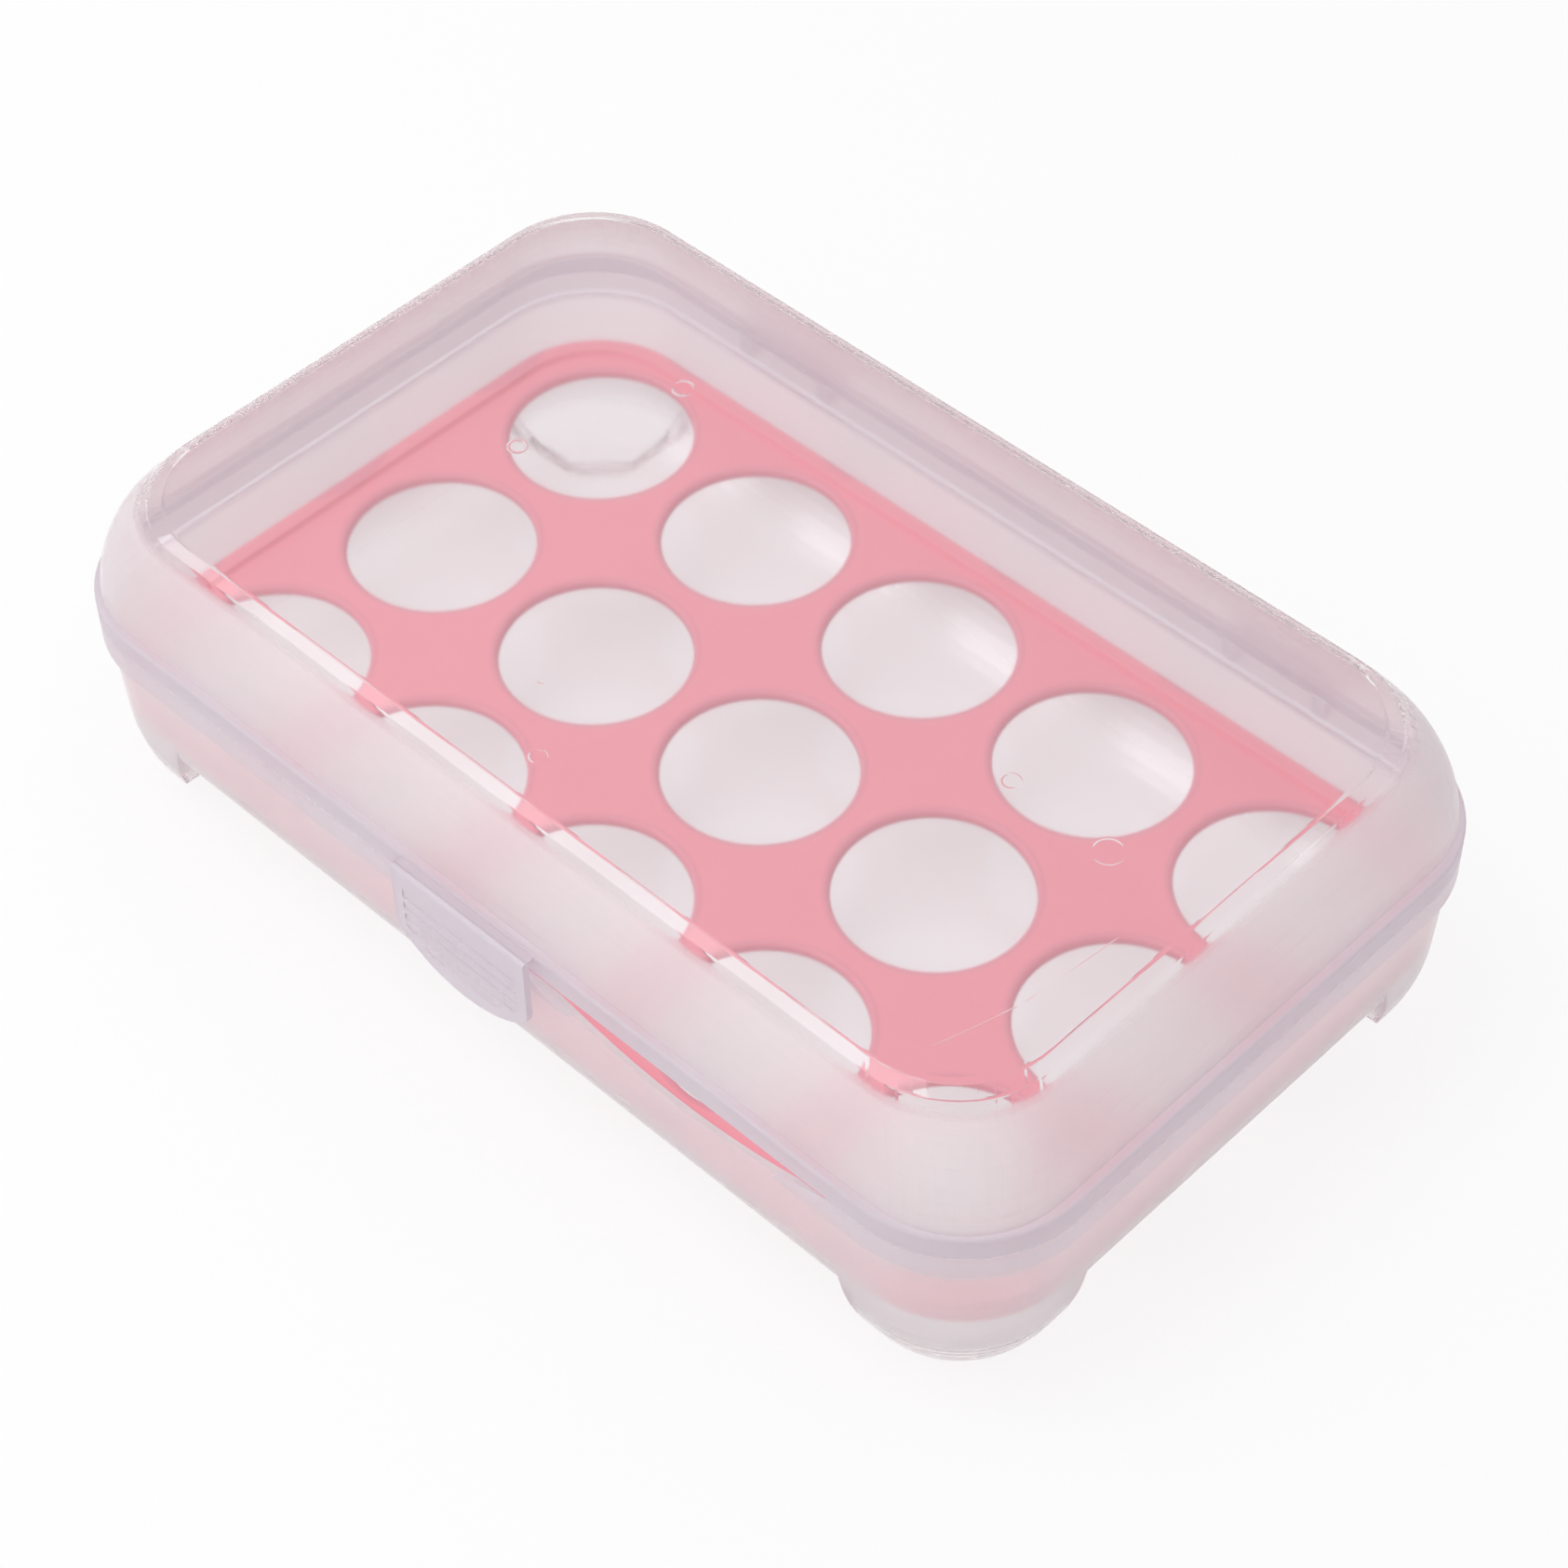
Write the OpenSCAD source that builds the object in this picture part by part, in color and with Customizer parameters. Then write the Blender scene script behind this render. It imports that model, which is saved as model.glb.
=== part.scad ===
// Egg keeper with a flip lid: a footed base box, a drop-in egg tray, a clip-on hinged lid and its
// front latch tab. Millimetres, +Z up, the origin on the table under the middle of the closed box,
// halfway between the front of the latch tab and the back of the hinge.
// The front, with the latch, faces -Y and the hinge is at the back.

/* [Outline] */
// Length of the rim from end to end
rim_l = 245; // [241:1:280]
// Width of the rim from front to back
rim_w = 149.5; // [147:0.5:180]
// Corner radius of the rim
rim_r = 26; // [24:0.5:32]
// Wall thickness of the base and the lid
wall = 1.2; // [0.9:0.1:1.4]
// Radius that softens the outer edge of each rim band
band_edge = 0.6; // [0.3:0.1:1]

/* [Base] */
// Height of the base's rim above the table
joint_h = 42; // [40:0.5:43]
// Height of the band round the base's rim
base_band = 6; // [4:0.5:8]
// How far the wall steps in under the band
base_step = 1.4; // [1:0.1:2]
// Lean of the base's wall, in degrees from upright
draft = 3.1; // [1:0.1:5]
// Radius of the bottom edge between the feet
bottom_r = 15; // [11:0.5:17]
// Height of the floor's underside above the table
foot_h = 6.5; // [5:0.5:8]
// Radius of the wall where it curves in to a foot
foot_curve = 34; // [30:1:40]
// Height at which the wall starts to curve in to a foot
foot_bend = 17; // [15:0.5:19]
// Radius of the edge under a foot
foot_edge = 2.5; // [2:0.5:4]
// Distance from the end of the rim to the inner end of a foot
foot_reach_x = 25; // [22:0.5:34]
// Distance from the side of the rim to the inner end of a foot
foot_reach_y = 24.5; // [22:0.5:32]
// Cut across the inner corner of a foot
foot_corner = 7; // [4:0.5:12]
// Length of the slope from a foot up to the floor
foot_slope = 6; // [4:0.5:12]
// How much further the slope runs up the wall beside a foot
foot_run = 3; // [1:0.5:5]
// Thickness of a foot's slopes, measured level
foot_skin = 1.5; // [1.2:0.1:2]
// Thickness of the ribs that carry the tray
seat_rib = 2; // [1.4:0.2:3]
// How far the ribs reach in past the tray's skirt
seat_reach = 1; // [0.5:0.5:3]

/* [Lid] */
// Height of the closed box
box_h = 69.5; // [69:0.5:80]
// Gap between the rims of the closed box
rim_gap = 0.3; // [0.2:0.05:0.5]
// Height of the band round the lid's rim
lid_band = 4.6; // [3.6:0.2:6]
// Corner radius of the crown, the same from its foot to its top
crown_r = 22; // [18:0.5:24]
// How much further in the foot of the crown stands at the two ends
crown_end = 0.3; // [0.2:0.1:2]
// How much more the ends of the crown lean in by its top
crown_spread = 2; // [0:0.1:4]
// How far the crown steps in from the band
crown_step = 1.95; // [1.6:0.05:2.6]
// Lean of the crown where it leaves the band, in degrees from upright
crown_lean = 2.2; // [1:0.2:6]
// Radius of the crown's bulging sides
crown_bulge = 43; // [38:0.5:46]
// Angle at which the bulging side turns into the shoulder, in degrees from upright
bulge_end = 20; // [16:1:23]
// Radius of the shoulder above the bulging sides
shoulder_r = 25; // [22:0.5:27]
// Lean of the lower face of the bead round the flat top, in degrees from upright
bead_lean = 38; // [34:1:41]
// Lean of the upper face of the bead
bead_top_lean = 60; // [54:1:66]
// Width of the upper face of the bead
bead_face = 2; // [1.4:0.1:2.4]
// Radius of the creases beside the faces of the bead
crease_r = 1.5; // [1.3:0.1:2]

/* [Egg tray] */
// Diameter of the egg holes
hole_d = 39; // [34:0.5:41]
// Distance between the egg holes' centres
hole_pitch = 45.5; // [43:0.5:46]
// Rows of egg holes from end to end
hole_cols = 5; // [3:1:5]
// Rows of egg holes from front to back
hole_rows = 3; // [1:1:3]
// Radius that rounds the upper edge of each hole
hole_edge = 1.1; // [0.5:0.1:1.4]
// Height of the tray's top face above the table
tray_h = 24; // [23:0.5:30]
// Thickness of the tray's plate
tray_t = 1.7; // [1.5:0.1:2.5]
// Depth of the skirt round the tray, from the top face down
skirt_h = 4.7; // [3.5:0.1:6]
// Thickness of the tray's skirt
skirt_t = 1.4; // [1:0.1:2]
// Height of the raised bead round the tray's edge
bead_h = 1; // [0.5:0.1:2]
// Width of the raised bead
bead_w = 3.6; // [2.5:0.1:4.5]
// Gap between the tray's edge and the wall of the base
tray_gap = 0.4; // [0.3:0.05:0.6]
// Gap under the tray's skirt
seat_gap = 0.1; // [0.05:0.05:0.3]

/* [Latch] */
// Width of the latch tab
tab_w = 35; // [28:1:44]
// Height of the tab from its lowest point to its film hinge
tab_h = 22.2; // [20:0.2:23]
// Thickness of the tab
tab_t = 1.4; // [1.2:0.1:1.8]
// Gap between the tab and the rim bands
tab_gap = 1.35; // [1.2:0.05:1.8]
// How far the round lower edge of the tab hangs below its straight sides
tab_bow = 7; // [4:0.5:9]
// Radius of the tab's lower corners
tab_corner = 4; // [2:0.5:6]
// Width of the border round the tab's grip panel
tab_border = 2.6; // [2:0.2:4]
// Depth of the grip panel
grip_depth = 0.4; // [0.2:0.1:0.6]
// Width of each grip rib
grip_rib = 1.2; // [0.8:0.1:1.6]
// Distance between the grip ribs
grip_pitch = 3; // [2.4:0.2:4]
// Width of the hook behind the tab
hook_w = 24; // [16:1:26]
// Height of the hook
hook_h = 1.5; // [1.2:0.1:2]
// Gap between the hook and the underside of the base's band
hook_gap = 0.3; // [0.2:0.05:0.5]
// How far the hook reaches in under the band
hook_bite = 0.9; // [0.6:0.05:1.1]
// Running gap round the tab's rounded hinge edge
film_gap = 0.1; // [0.05:0.05:0.2]
// Height of the lid band's edge above the tab's
film_drop = 0.4; // [0.2:0.1:1]

/* [Finger reliefs] */
// Length of the dip in the rim beside the latch
relief_l = 84; // [40:1:90]
// Depth of that dip
relief_d = 9.2; // [1:0.1:10]
// How far that dip runs in behind the latch tab
relief_in = 9; // [0:0.5:9]
// Length of the shallow dip on the latch's other side
small_relief_l = 40; // [20:1:60]
// Depth of the shallow dip
small_relief_d = 0.5; // [0.3:0.1:1]
// Distance from the latch tab to the shallow dip
relief_off = 0; // [0:0.5:8]

/* [Back hinge] */
// Distance between the middles of the two hinge brackets
hinge_span = 130; // [90:1:170]
// Distance of the pins' axis behind the rim
hinge_off = 5; // [4.6:0.1:6]
// Diameter of the hinge pins
pin_d = 3.2; // [2.6:0.1:3.6]
// Radial clearance of the knuckles on the pins
pin_gap = 0.08; // [0.05:0.01:0.1]
// Wall of the clip-on knuckles
knuckle_t = 1.6; // [1.2:0.1:1.7]
// Width of each knuckle
knuckle_w = 18; // [10:0.5:24]
// Width of the mouth that clips over the pin
mouth_w = 2.5; // [2:0.1:2.8]
// Thickness of the ears that hold a pin
ear_t = 3; // [2:0.2:4]
// Radius of the ears round the pin
ear_r = 3.2; // [2.8:0.1:3.4]
// Gap between a knuckle and the ears beside it
ear_gap = 0.5; // [0.3:0.1:0.8]

/* [Hidden] */
$fn = 64;
eps = 0.01;
arc_steps = 8;
crown_steps = 4;
// Base: the wall under the band, and the arcs below it
wall_top = joint_h - base_band;
bottom_z = foot_h + bottom_r;
bottom_c = wall_inset(bottom_z - bottom_r * sin(draft)) + bottom_r * cos(draft);
foot_c = wall_inset(foot_bend) + foot_curve * cos(draft);
foot_z = foot_bend + foot_curve * sin(draft);
foot_edge_c = foot_c - sqrt(pow(foot_curve - foot_edge, 2) - pow(foot_z - foot_edge, 2));
foot_turn = asin((foot_z - foot_edge) / (foot_curve - foot_edge));
slope_top = foot_h + wall / 2;
// Lid: the band's top, and the centres of the arcs of the crown above it
lid_low = joint_h + rim_gap;
band_top = lid_low + lid_band;
bulge_c = [crown_step + crown_bulge * cos(crown_lean), band_top - crown_bulge * sin(crown_lean)];
shoulder_c = bulge_c + (crown_bulge - shoulder_r) * outward(bulge_end);
crease_c = shoulder_c + (shoulder_r - crease_r) * outward(bead_lean);
bead_rise = box_h - crease_r - crease_c[1] - bead_face * cos(bead_top_lean);
lower_c = crease_c + bead_rise * [tan(bead_lean), 1];
upper_c = lower_c + bead_face * [sin(bead_top_lean), cos(bead_top_lean)];
// Tray
skirt_low = tray_h - skirt_h;
seat_z = skirt_low - seat_gap;
// Hinge and latch axes
pin_y = rim_w / 2 + hinge_off;
knuckle_r = pin_d / 2 + pin_gap + knuckle_t;
tab_in = rim_w / 2 + tab_gap;
film_y = tab_in + tab_t / 2;
film_z = band_top - tab_t / 2 - film_drop;
tab_low = film_z - tab_h;
// How far the middle of the closed box lies behind the middle of the rim
mid_y = (pin_y + max(knuckle_r, ear_r) - tab_in - tab_t) / 2;

// Inset of the base's wall from the rim's outline at a height
function wall_inset(z) = base_step + (wall_top - z) * tan(draft);

// Direction outwards from a centre at [inset, height], by the angle above the horizontal
function outward(a) = [-cos(a), sin(a)];

// Points of an arc about a centre at [inset, height], by the angle below (or above) the horizontal
function arc(c, z, r, from, to, up = 1, steps = arc_steps) =
    [for (k = [0 : steps]) let (a = from + (to - from) * k / steps)
        [c - r * cos(a), z + up * r * sin(a)]];

// Side of the base between the feet, from high down to the floor, moved inwards by t
function pan_side(high, t) = concat(
    [[wall_inset(high) + t / cos(draft), high]],
    arc(bottom_c, bottom_z, bottom_r - t, draft, 90, -1));

// Side of the base at a foot, from high down to the foot's sole, moved inwards by t
function foot_side(high, t) = concat(
    [[wall_inset(high) + t / cos(draft), high]],
    arc(foot_c, foot_z, foot_curve - t, draft, foot_turn, -1),
    arc(foot_edge_c, foot_edge, foot_edge - t, foot_turn, 90, -1));

// Arc of the crown round one of its centres, moved inwards by t
function crown_arc(c, r, t, from, to) = arc(c[0], c[1], r - t, from, to, 1, crown_steps);

// Side of the lid's crown, from low up to the flat top, moved inwards by t
function crown_side(low, t) = concat(
    [[crown_step + t / cos(crown_lean) - (band_top - low) * tan(crown_lean), low]],
    crown_arc(bulge_c, crown_bulge, t, crown_lean, bulge_end),
    crown_arc(shoulder_c, shoulder_r, t, bulge_end, bead_lean),
    crown_arc(lower_c, crease_r, t, bead_lean, bead_top_lean),
    crown_arc(upper_c, crease_r, t, bead_top_lean, 90));

// How much further in an end of the crown stands than its sides at a height
function end_inset(z) = crown_end + crown_spread * pow(max(0, z - band_top) / (box_h - band_top), 2);

// Edge of a rim band from its flat rim (z = a) to its rounded outer edge (z = b)
function band_side(a, b) =
    let (s = b > a ? 1 : -1)
    concat([[0, a]], arc(band_edge, b - s * band_edge, band_edge, 0, 90, s));

// Solid that carries one side profile round a rounded rectangle, l by w with corner radius r
module swept(l, w, r, side) {
    cx = l / 2 - r;
    cy = w / 2 - r;
    low = side[0][1];
    high = side[len(side) - 1][1];
    half = concat([[0, low]], [for (p = side) [r - p[0], p[1]]], [[0, high]]);
    for (mx = [0, 1], my = [0, 1])
        mirror([mx, 0, 0])
            mirror([0, my, 0])
                translate([cx, cy, 0])
                    rotate_extrude(angle = 90)
                        polygon(half);
    for (mx = [0, 1])
        mirror([mx, 0, 0])
            translate([cx, 0, 0])
                rotate([90, 0, 0])
                    linear_extrude(2 * cy, center = true)
                        polygon(half);
    for (my = [0, 1])
        mirror([0, my, 0])
            translate([0, cy, 0])
                rotate([90, 0, 90])
                    linear_extrude(2 * cx, center = true)
                        polygon(half);
    rotate([90, 0, 0])
        linear_extrude(2 * cy, center = true)
            polygon([[-cx, low], [cx, low], [cx, high], [-cx, high]]);
}

// Solid of the base's own outline
module base_swept(side) {
    swept(rim_l, rim_w, rim_r, side);
}

// Box by its corners
module span(a, b) {
    translate(a)
        cube(b - a);
}

// Outline of a foot's slope in [distance, height]: outwards of d at the sole, and further in as it rises
function slope_points(d) = concat(
    [[d, -1], [d, 0]],
    [for (k = [1 : arc_steps]) let (q = k / arc_steps)
        [d - foot_slope * (1 - cos(180 * q)) / 2, slope_top * q]],
    [[d - foot_slope - foot_run, bottom_z], [d + rim_l, bottom_z], [d + rim_l, -1]]);

// Room that the four feet take, with walls moved outwards by t
module feet_room(t) {
    ix = rim_l / 2 - foot_reach_x + t;
    iy = rim_w / 2 - foot_reach_y + t;
    for (mx = [0, 1], my = [0, 1])
        mirror([mx, 0, 0])
            mirror([0, my, 0])
                intersection() {
                    rotate([90, 0, 0])
                        linear_extrude(rim_w, center = true)
                            polygon(slope_points(ix));
                    rotate([90, 0, 90])
                        linear_extrude(rim_l, center = true)
                            polygon(slope_points(iy));
                    translate([ix + foot_corner / 2, iy + foot_corner / 2, 0])
                        rotate([0, 0, 45])
                            rotate([90, 0, 0])
                                linear_extrude(rim_w, center = true)
                                    polygon(slope_points(0));
                }
}

// Ribs inside the wall under the tray's skirt
module seat_ribs() {
    reach = wall_inset(skirt_low) + wall + tray_gap + skirt_t + seat_reach;
    for (x = [-0.5, 0.5] * (hole_cols - 2) * hole_pitch, my = [0, 1])
        mirror([0, my, 0])
            span([x - seat_rib / 2, rim_w / 2 - reach, foot_h], [x + seat_rib / 2, rim_w / 2, seat_z]);
    for (y = [-0.5, 0.5] * (hole_rows - 2) * hole_pitch, mx = [0, 1])
        mirror([mx, 0, 0])
            span([rim_l / 2 - reach, y - seat_rib / 2, foot_h], [rim_l / 2, y + seat_rib / 2, seat_z]);
}

// Round dip in the front rim, from x outwards
module relief(x, length, depth) {
    r = (length * length / 4 + depth * depth) / (2 * depth);
    translate([x + length / 2, -rim_w / 2 + wall, joint_h - depth + r])
        rotate([90, 0, 0])
            cylinder(r = r, h = 3 * wall + 2 * base_step, center = true, $fn = 256);
}

// Ears and pins of the back hinge
module hinge_brackets() {
    inner = knuckle_w / 2 + ear_gap;
    for (x = [-0.5, 0.5] * hinge_span)
        translate([x, 0, 0]) {
            translate([0, pin_y, joint_h])
                rotate([0, 90, 0])
                    cylinder(d = pin_d, h = 2 * inner + 2 * eps, center = true);
            for (mx = [0, 1])
                mirror([mx, 0, 0]) {
                    translate([inner, pin_y, joint_h])
                        rotate([0, 90, 0])
                            cylinder(r = ear_r, h = ear_t);
                    span([inner, rim_w / 2 - wall / 2, wall_top + band_edge],
                         [inner + ear_t, pin_y, joint_h]);
                }
        }
}

module base() {
    color("#efe6ea", 0.55)
        difference() {
            union() {
                base_swept(band_side(joint_h, wall_top));
                base_swept(pan_side(wall_top + wall, 0));
                intersection() {
                    base_swept(foot_side(wall_top + wall, 0));
                    feet_room(0);
                }
                hinge_brackets();
            }
            difference() {
                union() {
                    base_swept([[wall, joint_h + 1], [wall, wall_top + wall]]);
                    base_swept(pan_side(joint_h, wall));
                    intersection() {
                        base_swept(foot_side(wall_top + wall, wall));
                        feet_room(foot_skin);
                        span([-rim_l / 2, -rim_w / 2, wall], [rim_l / 2, rim_w / 2, joint_h]);
                    }
                }
                seat_ribs();
            }
            relief(tab_w / 2 - relief_in, relief_l, relief_d);
            relief(-tab_w / 2 - relief_off - small_relief_l, small_relief_l, small_relief_d);
        }
}

// Cutter for one egg hole, with its rounded upper edge
module egg_hole() {
    r = hole_d / 2;
    rotate_extrude()
        polygon(concat(
            [[0, skirt_low], [r, skirt_low]],
            [for (k = [0 : arc_steps]) let (a = 90 * k / arc_steps)
                [r + hole_edge * (1 - cos(a)), tray_h - hole_edge * (1 - sin(a))]],
            [[r + hole_edge, tray_h + bead_h + 1], [0, tray_h + bead_h + 1]]));
}

module egg_tray() {
    edge = wall + tray_gap;
    color("#f4a3ae")
        difference() {
            base_swept([[wall_inset(skirt_low) + edge, skirt_low],
                        [wall_inset(tray_h + bead_h) + edge, tray_h + bead_h]]);
            base_swept([[wall_inset(skirt_low) + edge + skirt_t, skirt_low - 1],
                        [wall_inset(skirt_low) + edge + skirt_t, tray_h - tray_t]]);
            base_swept([[wall_inset(tray_h) + edge + bead_w, tray_h],
                        [wall_inset(tray_h) + edge + bead_w - bead_h / 2, tray_h + bead_h + eps]]);
            for (i = [0 : hole_cols - 1], j = [0 : hole_rows - 1])
                translate([(i - (hole_cols - 1) / 2) * hole_pitch, (j - (hole_rows - 1) / 2) * hole_pitch, 0])
                    egg_hole();
        }
}

// Clip-on knuckles and the arms that join them to the lid's band
module knuckles() {
    for (x = [-0.5, 0.5] * hinge_span)
        translate([x, pin_y, joint_h])
            rotate([90, 0, 90])
                linear_extrude(knuckle_w, center = true)
                    difference() {
                        union() {
                            circle(r = knuckle_r);
                            translate([-hinge_off - wall / 2, rim_gap])
                                square([hinge_off + wall / 2, knuckle_r - rim_gap]);
                        }
                        circle(d = pin_d + 2 * pin_gap);
                        translate([-mouth_w / 2, -2 * knuckle_r])
                            square([mouth_w, 2 * knuckle_r]);
                    }
}

// Bar at the lid's front that carries the tab's film hinge
module film_bar() {
    difference() {
        span([-tab_w / 2, -film_y - film_gap, film_z - tab_t / 2],
             [tab_w / 2, -rim_w / 2 + wall / 2, film_z + tab_t / 2]);
        translate([0, -film_y, film_z])
            rotate([0, 90, 0])
                cylinder(d = tab_t + 2 * film_gap, h = tab_w + 2, center = true);
        span([-tab_w, -film_y - tab_t, film_z - tab_t], [tab_w, -film_y, film_z + tab_t]);
        span([-tab_w, -film_y - tab_t, film_z - tab_t], [tab_w, -tab_in + 2 * film_gap, film_z]);
    }
}

// Solid of the crown: rounded rectangles stacked up along its side, with corner radius r
module crown(side, r) {
    hull()
        for (p = side)
            translate([0, 0, p[1] - eps])
                linear_extrude(eps)
                    offset(r, $fn = 48)
                        square([rim_l - 2 * (end_inset(p[1]) + p[0] + r), rim_w - 2 * (p[0] + r)],
                               center = true);
}

module lid() {
    color("#ece3e8", 0.5)
        difference() {
            union() {
                base_swept(band_side(lid_low, band_top));
                crown(crown_side(band_top - wall, 0), crown_r);
                knuckles();
                film_bar();
            }
            base_swept([[wall, lid_low - 1], [wall, band_top - wall]]);
            crown(crown_side(band_top - 2 * wall, wall), crown_r - wall);
        }
}

// Outline of the tab in [x, height], its straight sides, bowed lower edge and round corners drawn in by t
module tab_outline(t) {
    half = tab_w / 2 - t;
    low = tab_low + t;
    bow_r = (tab_w * tab_w / 4 + tab_bow * tab_bow) / (2 * tab_bow);
    bow_z = tab_low + bow_r;
    corner = tab_corner - t;
    cx = half - corner;
    cz = bow_z - sqrt(pow(bow_r - tab_corner, 2) - cx * cx);
    for (s = [-1, 1])
        translate([s * cx, cz])
            circle(r = corner);
    translate([-half, cz])
        square([2 * half, film_z - cz]);
    intersection() {
        translate([0, bow_z])
            circle(r = bow_r - t, $fn = 128);
        polygon([[0, bow_z], [2 * cx, 2 * cz - bow_z], [-2 * cx, 2 * cz - bow_z]]);
        translate([-half, low])
            square([2 * half, film_z - low]);
    }
}

// Sunk grip panel with its ribs left standing
module grip_panel() {
    top = film_z - tab_t - tab_border;
    difference() {
        intersection() {
            tab_outline(tab_border);
            translate([-tab_w, tab_low])
                square([2 * tab_w, top - tab_low]);
        }
        for (z = [top - grip_pitch : -grip_pitch : tab_low])
            translate([-tab_w, z - grip_rib / 2])
                square([2 * tab_w, grip_rib]);
    }
}

module latch_tab() {
    color("#e3d8de", 0.7) {
        difference() {
            union() {
                translate([0, -tab_in, 0])
                    rotate([90, 0, 0])
                        linear_extrude(tab_t)
                            tab_outline(0);
                translate([0, -film_y, film_z])
                    rotate([0, 90, 0])
                        cylinder(d = tab_t, h = tab_w, center = true);
                span([-hook_w / 2, -tab_in - tab_t / 2, wall_top - hook_gap - hook_h],
                     [hook_w / 2, -rim_w / 2 + hook_bite, wall_top - hook_gap]);
            }
            translate([0, -tab_in - tab_t + grip_depth, 0])
                rotate([90, 0, 0])
                    linear_extrude(tab_t)
                        grip_panel();
        }
    }
}

translate([0, -mid_y, 0]) {
    base();
    egg_tray();
    lid();
    latch_tab();
}
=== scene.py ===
import math

import bpy
from bpy.props import FloatProperty, FloatVectorProperty, PointerProperty
from bpy.types import Operator, Panel, PropertyGroup
from mathutils import Matrix, Vector

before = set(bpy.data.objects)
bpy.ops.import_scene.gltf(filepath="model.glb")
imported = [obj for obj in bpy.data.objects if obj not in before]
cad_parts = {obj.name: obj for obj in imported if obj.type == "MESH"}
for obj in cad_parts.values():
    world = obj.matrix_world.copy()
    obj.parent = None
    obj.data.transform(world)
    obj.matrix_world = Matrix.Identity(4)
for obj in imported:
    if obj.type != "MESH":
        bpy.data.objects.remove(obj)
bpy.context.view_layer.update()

bl_info = {
    "name": "Egg keeper looks",
    "version": (1, 0, 0),
    "blender": (4, 5, 0),
    "location": "3D View > Sidebar > Egg keeper",
    "description": "Plastics, moulding detail and a plain studio for an egg keeper with a flip lid",
    "category": "Object",
}

MM = 0.001
# Pitch of the tray's holes, and where their middle row lies
HOLE_PITCH = 45.5 * MM
HOLE_ROW = -2.765 * MM

# sRGB tints on a scale of 0 to 255
LID_BAND = (214, 204, 213)
BASE_BAND = (228, 219, 226)
TAB_MILK = (222, 214, 224)
THROUGH = (248, 244, 246)
# Painted shade on a hole's rounded lip: how much darker and greyer than the web it is painted, for
# red, green and blue
LIP_PAINTED_SHADE = (0.87, 0.9, 0.92)

# Round marks on the lid's clear panel, taken for those of ejector pins: place and radius in mm
PIN_MARKS = (((-62.7, -4.1), 1.8), ((64.0, -4.1), 1.8), ((-0.9, -57.3), 1.7),
             ((-13.9, -43.4), 1.4), ((-51.4, 29.5), 2.2), ((87.1, -4.8), 3.0))
PIN_LINE = 0.35
# Handling scratches on the same panel: start and end in mm
SCRATCHES = (((93.5, -59.2), (98.7, -40.7)), ((98.7, -40.7), (101.1, -17.5)))
SCRATCH_LINE = 0.12

WHITE = (1, 1, 1, 1)
FLOOR_HALF = 6.0
# Share of its own white, against shade, that the floor shows
FLOOR_WHITE = 0.8
LAMP_PLACE = (-0.35, -0.4, 0.85)
LAMP_AIM = (0, 0, 0.03)
LAMP_SIZE = 0.9


# Shader maths

class Link:
    """One output socket that takes part in Python arithmetic; each operation adds a Math node."""

    def __init__(self, tree, socket):
        self.tree = tree
        self.socket = socket

    def maths(self, operation, *values):
        node = self.tree.nodes.new("ShaderNodeMath")
        node.operation = operation
        for slot, value in zip(node.inputs, values):
            if isinstance(value, Link):
                self.tree.links.new(value.socket, slot)
            else:
                slot.default_value = value
        return Link(self.tree, node.outputs[0])

    def __add__(self, other):
        return self.maths("ADD", self, other)

    def __sub__(self, other):
        return self.maths("SUBTRACT", self, other)

    def __mul__(self, other):
        return self.maths("MULTIPLY", self, other)

    def __abs__(self):
        return self.maths("ABSOLUTE", self)

    def at_least(self, other):
        return self.maths("MAXIMUM", self, other)

    def root(self):
        return self.maths("SQRT", self)

    def to_nearest(self, pitch):
        """Distance to the nearest multiple of pitch."""
        return self.maths("PINGPONG", self, pitch / 2)

    def ramp(self, low, high, start=0.0, end=1.0):
        """Smooth step from start at low to end at high."""
        node = self.tree.nodes.new("ShaderNodeMapRange")
        node.interpolation_type = "SMOOTHSTEP"
        self.tree.links.new(self.socket, node.inputs["Value"])
        limits = (("From Min", low), ("From Max", high), ("To Min", start), ("To Max", end))
        for name, value in limits:
            node.inputs[name].default_value = value
        return Link(self.tree, node.outputs["Result"])


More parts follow.
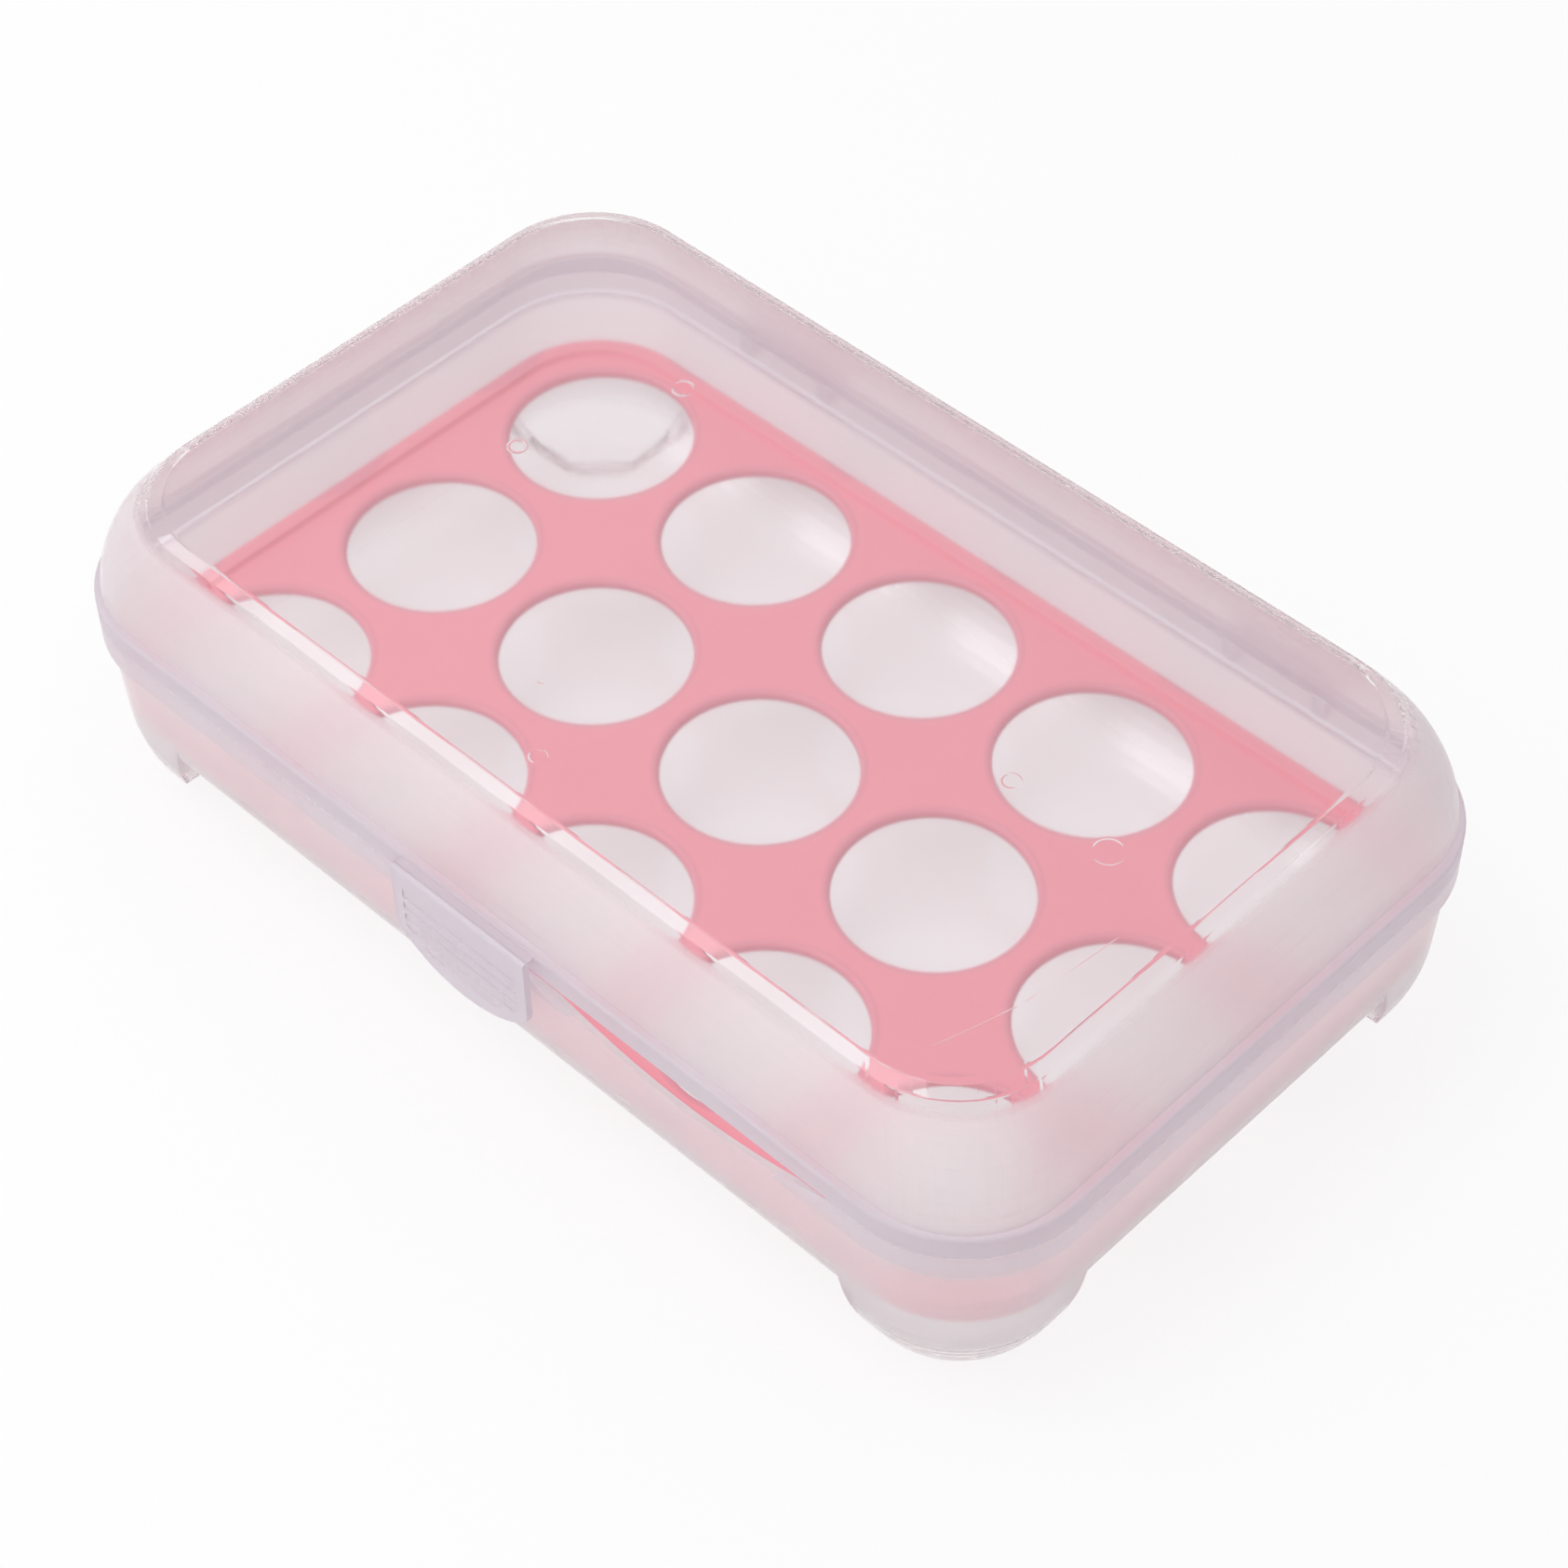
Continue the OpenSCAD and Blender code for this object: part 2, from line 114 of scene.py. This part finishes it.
class Finish:
    """A new node material with helpers for its shader tree."""

    def __init__(self, name):
        self.material = bpy.data.materials.new(name)
        self.material.use_nodes = True
        self.tree = self.material.node_tree
        self.tree.nodes.clear()

    def node(self, kind, inputs=None, output=0):
        """Adds a node, sets its input values or links, and gives one output."""
        node = self.tree.nodes.new(kind)
        for name, value in (inputs or {}).items():
            slot = node.inputs[name]
            if isinstance(value, Link):
                self.tree.links.new(value.socket, slot)
            else:
                slot.default_value = value
        return Link(self.tree, node.outputs[output])

    def place(self):
        """Position on the piece, in metres, as a vector and as its three parts."""
        where = self.node("ShaderNodeTexCoord", output="Object")
        parts = self.tree.nodes.new("ShaderNodeSeparateXYZ")
        self.tree.links.new(where.socket, parts.inputs[0])
        return where, [Link(self.tree, parts.outputs[k]) for k in range(3)]

    def noise(self, where, scale, detail=2.0):
        return self.node(
            "ShaderNodeTexNoise",
            {"Vector": where, "Scale": scale, "Detail": detail, "Roughness": 0.5}, "Fac")

    def mix(self, factor, first, second):
        """Colour between first and second."""
        node = self.tree.nodes.new("ShaderNodeMix")
        node.data_type = "RGBA"
        for place, value in ((0, factor), (6, first), (7, second)):
            slot = node.inputs[place]
            if isinstance(value, Link):
                self.tree.links.new(value.socket, slot)
            else:
                slot.default_value = value
        return Link(self.tree, node.outputs[2])

    def shade(self, factor, first, second):
        """Shader between first and second."""
        node = self.tree.nodes.new("ShaderNodeMixShader")
        if isinstance(factor, Link):
            self.tree.links.new(factor.socket, node.inputs[0])
        else:
            node.inputs[0].default_value = factor
        self.tree.links.new(first.socket, node.inputs[1])
        self.tree.links.new(second.socket, node.inputs[2])
        return Link(self.tree, node.outputs[0])

    def show(self, shader):
        out = self.tree.nodes.new("ShaderNodeOutputMaterial")
        self.tree.links.new(shader.socket, out.inputs["Surface"])
        return self.material


def linear(colour):
    """Linear colour with alpha from an sRGB one on a scale of 0 to 255."""
    out = []
    for c in colour:
        c = c / 255
        out.append(c / 12.92 if c <= 0.04045 else ((c + 0.055) / 1.055) ** 2.4)
    return (*out, 1.0)


# Sizes and colours that a user may change

class PlasticSettings(PropertyGroup):
    """Colours and finish of the mouldings."""
    clear: FloatVectorProperty(
        name="Clear plastic", description="Tint of the polypropylene of the box and the lid",
        subtype="COLOR", size=3, min=0, max=1, default=linear((251, 249, 250))[:3])
    milk: FloatVectorProperty(
        name="Milk", description="Colour of the light that the frosted plastic scatters",
        subtype="COLOR", size=3, min=0, max=1, default=linear((246, 240, 242))[:3])
    pink: FloatVectorProperty(
        name="Tray pink", description="Colour of the egg tray",
        subtype="COLOR", size=3, min=0, max=1, default=linear((250, 166, 177))[:3])
    milkiness: FloatProperty(
        name="Milkiness", description="Share of light that a frosted face scatters",
        subtype="FACTOR", min=0, max=1, default=0.25)
    frost: FloatProperty(
        name="Frost", description="Roughness of the frosted faces",
        subtype="FACTOR", min=0, max=1, default=0.42)
    polish: FloatProperty(
        name="Polish", description="Roughness of the polished faces",
        subtype="FACTOR", min=0, max=1, default=0.06)
    polish_height: FloatProperty(
        name="Polish height",
        description="Height above the table at which the lid's polished top begins",
        subtype="DISTANCE", unit="LENGTH", min=0.05, max=0.08, default=66.1 * MM)


class StudioSettings(PropertyGroup):
    """Camera, lamp and sky."""
    lens: FloatProperty(
        name="Lens", description="Focal length of the camera in millimetres on a 36 mm sensor",
        min=20, max=200, default=85.06)
    lamp: FloatProperty(
        name="Lamp power", description="Power of the large overhead lamp",
        subtype="POWER", unit="POWER", min=0, max=50, default=4.3)
    sky: FloatProperty(
        name="Sky", description="Strength of the even light from all round",
        min=0, max=2, default=0.75)


def settings():
    return bpy.context.scene.egg_keeper_plastic


# Finishes

def polypropylene(finish, frost, milk_colour, extra, bump=None):
    """Wall of polypropylene: refracting, frosted where frost is 1, milkier by extra and where it
    is seen edge on, with lamp light let through."""
    s = settings()
    rough = frost * (s.frost - s.polish) + s.polish
    glass_in = {"Base Color": (*s.clear, 1.0), "Roughness": rough, "IOR": 1.49,
                "Transmission Weight": 1.0}
    milk_in = {"Base Color": milk_colour, "Roughness": 0.5, "Specular IOR Level": 0.3}
    if bump is not None:
        glass_in["Normal"] = bump
        milk_in["Normal"] = bump
    glass = finish.node("ShaderNodeBsdfPrincipled", glass_in)
    milk = finish.node("ShaderNodeBsdfPrincipled", milk_in)
    facing = finish.node("ShaderNodeLayerWeight", {"Blend": 0.5}, "Facing")
    edge = facing.ramp(0.72, 0.96, 0.0, 0.75)
    share = (frost * s.milkiness + extra).at_least(edge)
    body = finish.shade(share, glass, milk)
    through = finish.node("ShaderNodeBsdfTransparent", {"Color": linear(THROUGH)})
    path = finish.tree.nodes.new("ShaderNodeLightPath")
    lamp_ray = Link(finish.tree, path.outputs["Is Shadow Ray"])
    soft_ray = Link(finish.tree, path.outputs["Is Diffuse Ray"])
    return finish.show(finish.shade(lamp_ray.at_least(soft_ray), body, through))


def milk_tint(finish, mask, tint):
    """Milk colour, turned towards tint where mask is 1."""
    return finish.mix(mask, (*settings().milk, 1.0), linear(tint))


def ring(x, y, spot, radius, width):
    """Height 1 on a thin circle about spot, 0 away from it."""
    across = x - spot[0] * MM
    along = y - spot[1] * MM
    away = abs((across * across + along * along).root() - radius * MM)
    return away.ramp(0.0, width * MM, 1.0, 0.0)


def hairline(x, y, start, end, width):
    """Height 1 on a thin straight scratch that fades towards start and end, 0 away from it."""
    span = (end[0] - start[0], end[1] - start[1])
    length = math.hypot(*span)
    ux, uy = span[0] / length, span[1] / length
    across = x - start[0] * MM
    along = y - start[1] * MM
    off = abs(across * -uy + along * ux)
    middle = abs(across * ux + along * uy - length / 2 * MM)
    line = off.ramp(0.0, width * MM, 1.0, 0.0)
    return line * middle.ramp(length * 0.3 * MM, length * 0.5 * MM, 1.0, 0.0)


def lid_plastic():
    """Frosted sides, milkier rim band, and a polished top with small moulding marks."""
    finish = Finish("lid_polypropylene")
    s = settings()
    where, (x, y, z) = finish.place()
    cloud = finish.noise(where, 35.0, 2.0)
    low, high = s.polish_height - 0.3 * MM, s.polish_height + 0.9 * MM
    frost = (z + cloud * 0.6 * MM).ramp(low, high, 1.0, 0.0)
    band = z.ramp(46.7 * MM, 47.2 * MM, 1.0, 0.0)
    panel = z.ramp(69.0 * MM, 69.3 * MM)
    marks = ring(x, y, *PIN_MARKS[0], PIN_LINE)
    for spot, radius in PIN_MARKS[1:]:
        marks = marks + ring(x, y, spot, radius, PIN_LINE)
    for start, end in SCRATCHES:
        marks = marks + hairline(x, y, start, end, SCRATCH_LINE)
    bump = finish.node("ShaderNodeBump", {
        "Strength": 0.35, "Distance": 0.1 * MM, "Height": marks * panel}, "Normal")
    return polypropylene(finish, frost, milk_tint(finish, band, LID_BAND), band * 0.2, bump)


def base_plastic():
    """Frosted wall that clears towards the feet, with a milkier rim band."""
    finish = Finish("base_polypropylene")
    _, (_, _, z) = finish.place()
    frost = z.ramp(6.0 * MM, 15.0 * MM, 0.3, 1.0)
    band = z.ramp(35.6 * MM, 36.1 * MM)
    return polypropylene(finish, frost, milk_tint(finish, band, BASE_BAND), band * 0.1)


def tab_plastic():
    """Frosted all over and milkier than the walls."""
    finish = Finish("latch_polypropylene")
    where, _ = finish.place()
    cloud = finish.noise(where, 60.0, 2.0)
    return polypropylene(finish, cloud * 0.2 + 0.8, linear(TAB_MILK), 0.25)


def tray_plastic():
    """Satin pink with a fine grain, and painted shade on the rounded lip of each hole."""
    finish = Finish("tray_polypropylene")
    s = settings()
    where, (x, y, _) = finish.place()
    cloud = finish.noise(where, 60.0, 3.0)
    deep = tuple(c * 0.95 for c in s.pink)
    colour = finish.mix(cloud, (*s.pink, 1.0), (*deep, 1.0))
    # Painted shade: the rounded lip of each hole is painted a little darker and greyer than the
    # web, standing in for the shade where it turns down
    across = x.to_nearest(HOLE_PITCH)
    along = (y - HOLE_ROW).to_nearest(HOLE_PITCH)
    away = (across * across + along * along).root()
    lip_painted_shade = away.ramp(20.6 * MM, 21.4 * MM, 1.0, 0.0)
    lip_painted_shade_colour = tuple(c * k for c, k in zip(s.pink, LIP_PAINTED_SHADE))
    colour = finish.mix(lip_painted_shade, colour, (*lip_painted_shade_colour, 1.0))
    grain = finish.noise(where, 2500.0, 2.0)
    bump = finish.node("ShaderNodeBump", {
        "Strength": 0.1, "Distance": 0.05 * MM, "Height": grain}, "Normal")
    shader = finish.node("ShaderNodeBsdfPrincipled", {
        "Base Color": colour, "Roughness": cloud * 0.1 + 0.38, "Normal": bump,
        "Subsurface Weight": 0.15, "Subsurface Scale": 2 * MM,
        "Subsurface Radius": (1.0, 0.5, 0.5)})
    return finish.show(shader)


def dress(node, material):
    """Gives a CAD node its material."""
    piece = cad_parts[node]
    piece.data.materials.clear()
    piece.data.materials.append(material)


class EGGKEEPER_OT_base(Operator):
    """Gives the base box its frosted polypropylene."""
    bl_idname = "eggkeeper.base"
    bl_label = "Base box"

    def execute(self, context):
        dress("base", base_plastic())
        return {"FINISHED"}


class EGGKEEPER_OT_tray(Operator):
    """Gives the egg tray its satin pink plastic."""
    bl_idname = "eggkeeper.tray"
    bl_label = "Egg tray"

    def execute(self, context):
        dress("egg_tray", tray_plastic())
        return {"FINISHED"}


class EGGKEEPER_OT_lid(Operator):
    """Gives the lid its frosted sides and clear top."""
    bl_idname = "eggkeeper.lid"
    bl_label = "Lid"

    def execute(self, context):
        dress("lid", lid_plastic())
        return {"FINISHED"}


class EGGKEEPER_OT_latch(Operator):
    """Gives the latch tab its plastic."""
    bl_idname = "eggkeeper.latch"
    bl_label = "Latch tab"

    def execute(self, context):
        dress("latch_tab", tab_plastic())
        return {"FINISHED"}


def seen_ray(tree):
    """Link that is 1 for rays from the camera, from gloss and through glass, and 0 for others."""
    path = tree.nodes.new("ShaderNodeLightPath")
    camera, gloss, through = [
        Link(tree, path.outputs[k])
        for k in ("Is Camera Ray", "Is Glossy Ray", "Is Transmission Ray")]
    return camera.at_least(gloss).at_least(through)


def backdrop_finish():
    """Pale floor that shows white to the camera and keeps part of the object's shadow."""
    finish = Finish("studio_floor")
    matt = finish.node("ShaderNodeBsdfDiffuse", {"Color": (0.9, 0.9, 0.9, 1.0)})
    white = finish.node("ShaderNodeEmission", {"Color": WHITE, "Strength": 1.0})
    return finish.show(finish.shade(seen_ray(finish.tree) * FLOOR_WHITE, matt, white))


class EGGKEEPER_OT_stage(Operator):
    """Builds the floor, the sky, the lamp and the camera."""
    bl_idname = "eggkeeper.stage"
    bl_label = "Studio"

    def execute(self, context):
        scene = context.scene
        s = scene.egg_keeper_studio
        mesh = bpy.data.meshes.new("studio_floor")
        corners = [(x * FLOOR_HALF, y * FLOOR_HALF, 0)
                   for x, y in ((-1, -1), (1, -1), (1, 1), (-1, 1))]
        mesh.from_pydata(corners, [], [(0, 1, 2, 3)])
        floor = bpy.data.objects.new("studio_floor", mesh)
        scene.collection.objects.link(floor)
        mesh.materials.append(backdrop_finish())
        floor.location.z = -0.2 * MM

        world = scene.world or bpy.data.worlds.new("studio_sky")
        scene.world = world
        world.use_nodes = True
        tree = world.node_tree
        tree.nodes.clear()
        strength = seen_ray(tree) * (1.0 - s.sky) + s.sky
        sky = tree.nodes.new("ShaderNodeBackground")
        sky.inputs["Color"].default_value = WHITE
        tree.links.new(strength.socket, sky.inputs["Strength"])
        out = tree.nodes.new("ShaderNodeOutputWorld")
        tree.links.new(sky.outputs[0], out.inputs["Surface"])

        lamp = bpy.data.lights.new("overhead", "AREA")
        lamp.shape = "SQUARE"
        lamp.size = LAMP_SIZE
        lamp.energy = s.lamp
        holder = bpy.data.objects.new("overhead", lamp)
        scene.collection.objects.link(holder)
        holder.location = LAMP_PLACE
        aim = Vector(LAMP_AIM) - Vector(LAMP_PLACE)
        holder.rotation_euler = aim.to_track_quat("-Z", "Y").to_euler()

        data = bpy.data.cameras.new("camera")
        data.sensor_width = 36.0
        data.lens = s.lens
        data.clip_start = 0.01
        data.clip_end = 20
        camera = bpy.data.objects.new("camera", data)
        scene.collection.objects.link(camera)
        camera.matrix_world = camera_place()
        scene.camera = camera
        scene.view_settings.view_transform = "Standard"
        scene.cycles.max_bounces = 24
        scene.cycles.transmission_bounces = 20
        scene.cycles.glossy_bounces = 8
        scene.cycles.transparent_max_bounces = 16
        return {"FINISHED"}


def camera_place():
    """Camera's place and turn, solved from the tray's holes in the photograph."""
    spot = Vector((344.75, -344.1, 549.8)) * MM
    right = Vector((0.71893, 0.69499, -0.01126)).normalized()
    azimuth, height = math.radians(44.74), math.radians(47.55)
    back = Vector((math.sin(azimuth) * math.cos(height),
                   -math.cos(azimuth) * math.cos(height), math.sin(height)))
    up = back.cross(right).normalized()
    right = up.cross(back).normalized()
    turn = Matrix((right, up, back)).transposed().to_4x4()
    return Matrix.Translation(spot) @ turn


class EGGKEEPER_PT_panel(Panel):
    """Lists the steps in the 3D view's sidebar."""
    bl_label = "Egg keeper"
    bl_idname = "EGGKEEPER_PT_panel"
    bl_space_type = "VIEW_3D"
    bl_region_type = "UI"
    bl_category = "Egg keeper"

    def draw(self, context):
        for group in (context.scene.egg_keeper_plastic, context.scene.egg_keeper_studio):
            for prop in group.bl_rna.properties:
                if prop.identifier not in ("rna_type", "name"):
                    self.layout.prop(group, prop.identifier)
        for step in STEPS:
            self.layout.operator(step.bl_idname)


STEPS = (EGGKEEPER_OT_base, EGGKEEPER_OT_tray, EGGKEEPER_OT_lid, EGGKEEPER_OT_latch,
         EGGKEEPER_OT_stage)
CLASSES = (PlasticSettings, StudioSettings, *STEPS, EGGKEEPER_PT_panel)


def register():
    for cls in CLASSES:
        bpy.utils.register_class(cls)
    bpy.types.Scene.egg_keeper_plastic = PointerProperty(type=PlasticSettings)
    bpy.types.Scene.egg_keeper_studio = PointerProperty(type=StudioSettings)


def unregister():
    del bpy.types.Scene.egg_keeper_studio
    del bpy.types.Scene.egg_keeper_plastic
    for cls in reversed(CLASSES):
        bpy.utils.unregister_class(cls)


def main():
    register()
    for step in STEPS:
        group, name = step.bl_idname.split(".")
        getattr(getattr(bpy.ops, group), name)()


if __name__ == "__main__":
    main()
